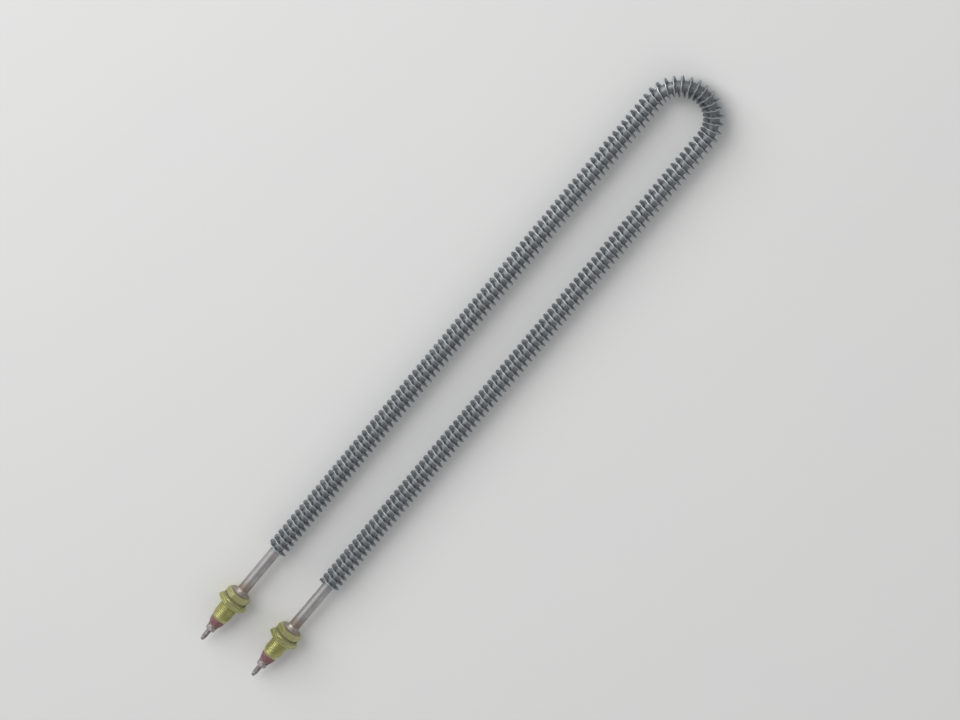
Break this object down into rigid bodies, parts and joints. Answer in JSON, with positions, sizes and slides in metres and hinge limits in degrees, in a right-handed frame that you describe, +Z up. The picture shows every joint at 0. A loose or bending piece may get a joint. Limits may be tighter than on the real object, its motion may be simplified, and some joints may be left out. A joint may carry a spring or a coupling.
{
  "type": "finned tubular heating element",
  "caption": "U-shaped air heating element: a steel tube wound with a spiral fin strip, with threaded brass fittings, lock nuts, red end seals and stud terminals at both ends",
  "frame": {"origin": "under the middle of the element's bounding box, on the surface it lies on", "axes": "+Z up, +Y along the legs from the terminals to the bend, +X across from the left leg to the right leg"},
  "size_m": [0.0718, 0.5642, 0.021],
  "materials": {
    "sheath_steel": "satin stainless tube, slightly warm",
    "fin_steel": "blue-grey steel strip, dull satin",
    "fitting_brass": "yellow plated, satin",
    "gasket_fibre": "matt olive sealing fibre",
    "washer_brass": "yellow plated, satin",
    "nut_brass": "yellow plated, satin",
    "seal_silicone": "matt red-brown silicone",
    "bush_ceramic": "unglazed, off-white",
    "pin_steel": "nickel plated, satin",
    "terminal_steel": "nickel plated, satin",
    "filling_oxide": "packed white powder",
    "coil_alloy": "resistance alloy wire, dull"
  },
  "bodies": {
    "root": {"sheath_tube": "sheath_steel", "fin_strip": "fin_steel", "resistance_coil": "coil_alloy", "magnesia_filling": "filling_oxide", "left_screw_fitting": "fitting_brass", "left_gasket": "gasket_fibre", "left_washer": "washer_brass", "left_lock_nut": "nut_brass", "left_end_seal": "seal_silicone", "left_insulating_bush": "bush_ceramic", "left_terminal_pin": "pin_steel", "left_terminal_washer": "terminal_steel", "left_terminal_nut": "terminal_steel", "right_screw_fitting": "fitting_brass", "right_gasket": "gasket_fibre", "right_washer": "washer_brass", "right_lock_nut": "nut_brass", "right_end_seal": "seal_silicone", "right_insulating_bush": "bush_ceramic", "right_terminal_pin": "pin_steel", "right_terminal_washer": "terminal_steel", "right_terminal_nut": "terminal_steel"}
  },
  "joints": []
}
